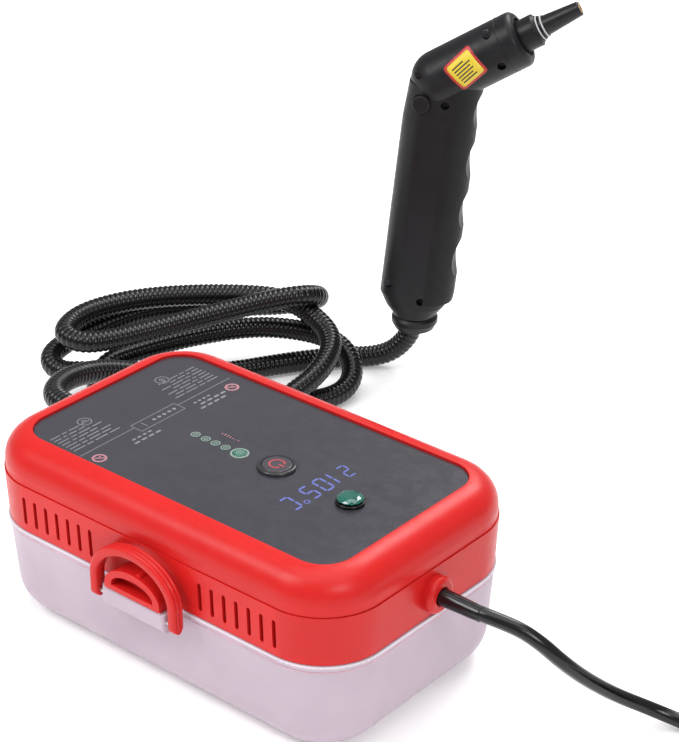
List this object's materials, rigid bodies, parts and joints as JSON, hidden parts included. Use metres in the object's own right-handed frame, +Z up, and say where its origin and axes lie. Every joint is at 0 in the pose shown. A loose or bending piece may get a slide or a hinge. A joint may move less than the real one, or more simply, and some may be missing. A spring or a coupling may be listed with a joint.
{
  "type": "portable steam cleaner",
  "caption": "Portable steam cleaner: red lift-off head over a translucent water tank, steam gun on a coiled corrugated hose, mains lead with plug.",
  "frame": {"origin": "centre of the tank's flat underside", "axes": "+X along the box towards the mains lead, -Y towards the front latch, +Z up"},
  "size_m": [0.7551, 0.4915, 0.295],
  "materials": {
    "tank_plastic": "frosted translucent plastic",
    "seal_rubber": "matte",
    "steel": "brushed",
    "red_plastic": "satin",
    "floor_plastic": "matte",
    "panel": "gloss",
    "display": "gloss",
    "bezel_black": "gloss",
    "button_grey": "satin",
    "mode_green": "satin",
    "ring_white": "satin",
    "led_green": "frosted",
    "lamp_teal": "gloss",
    "board_green": "matte",
    "black_plastic": "satin",
    "brass": "satin",
    "aluminium": "cast",
    "silicone": "matte",
    "black_rubber": "matte",
    "cord_black": "gloss",
    "hose_black": "satin",
    "gun_black": "satin",
    "grip_black": "matte",
    "oring_white": "matte",
    "label_yellow": "satin"
  },
  "bodies": {
    "tank": {"water_tank": "tank_plastic", "latch_pin_front": "steel", "latch_pin_back": "steel", "mains_cord": "cord_black", "mains_cord_coil": "cord_black", "plug_body": "black_rubber", "plug_pins": "steel", "hose_lead": "hose_black", "hose_coil": "hose_black", "hose_gun_lead": "hose_black", "gun_shell_left": "gun_black", "gun_shell_right": "gun_black", "gun_screws": "steel", "gun_grip": "grip_black", "gun_collar": "gun_black", "gun_switch": "black_plastic", "gun_steam_tube": "silicone", "gun_label": "label_yellow", "nozzle_socket": "black_plastic", "nozzle_oring_rear": "oring_white", "nozzle_oring_front": "oring_white", "nozzle_tip": "gun_black", "nozzle_orifice": "brass"},
    "head": {"mid_frame": "red_plastic", "head_floor": "floor_plastic", "top_cover": "red_plastic", "cover_screws": "steel", "tank_gasket": "seal_rubber", "control_panel": "panel", "display_module": "display", "power_bezel": "bezel_black", "power_switch": "black_plastic", "mode_bezel": "ring_white", "mode_switch": "black_plastic", "lamp_bezel": "bezel_black", "lamp_lens": "lamp_teal", "level_led_1": "led_green", "level_led_2": "led_green", "level_led_3": "led_green", "level_led_4": "led_green", "control_board": "board_green", "pump_body": "black_plastic", "pump_core": "brass", "pump_mounts": "black_rubber", "thermoblock": "aluminium", "thermostat": "steel", "relief_valve": "brass", "steam_pipe": "steel", "water_tube": "silicone", "suction_tube": "silicone", "suction_filter": "black_plastic", "terminal_block": "ring_white", "cord_sleeve": "black_rubber", "hose_gland": "black_plastic"},
    "latch_front": {"latch_front": "red_plastic"},
    "latch_back": {"latch_back": "red_plastic"},
    "power_button": {"power_button": "button_grey"},
    "mode_button": {"mode_button": "mode_green"},
    "gun_button": {"gun_button": "black_plastic"}
  },
  "joints": [
    {"name": "head_lift", "type": "slide", "parent": "tank", "child": "head", "axis": [0, 0, 1], "range_m": [0, 0.065]},
    {"name": "latch_front_hinge", "type": "hinge", "parent": "tank", "child": "latch_front", "pos_m": [0, -0.097, 0.0606], "axis": [1, 0, 0], "range_deg": [0, 165]},
    {"name": "latch_back_hinge", "type": "hinge", "parent": "tank", "child": "latch_back", "pos_m": [0, 0.097, 0.0606], "axis": [-1, 0, 0], "range_deg": [0, 165]},
    {"name": "power_button_press", "type": "slide", "parent": "head", "child": "power_button", "axis": [0, 0, -1], "range_m": [0, 0.0015], "stiffness_N_per_m": 900, "springref_m": -0.001},
    {"name": "mode_button_press", "type": "slide", "parent": "head", "child": "mode_button", "axis": [0, 0, -1], "range_m": [0, 0.0006], "stiffness_N_per_m": 900, "springref_m": -0.001},
    {"name": "gun_button_press", "type": "slide", "parent": "tank", "child": "gun_button", "axis": [-0.5, 0.866, 0], "range_m": [0, 0.002], "stiffness_N_per_m": 800, "springref_m": -0.001}
  ],
  "couplings": [
    {"joint": "latch_front_hinge", "follows": "head_lift", "rad_per_m": 44},
    {"joint": "latch_back_hinge", "follows": "head_lift", "rad_per_m": 44}
  ]
}
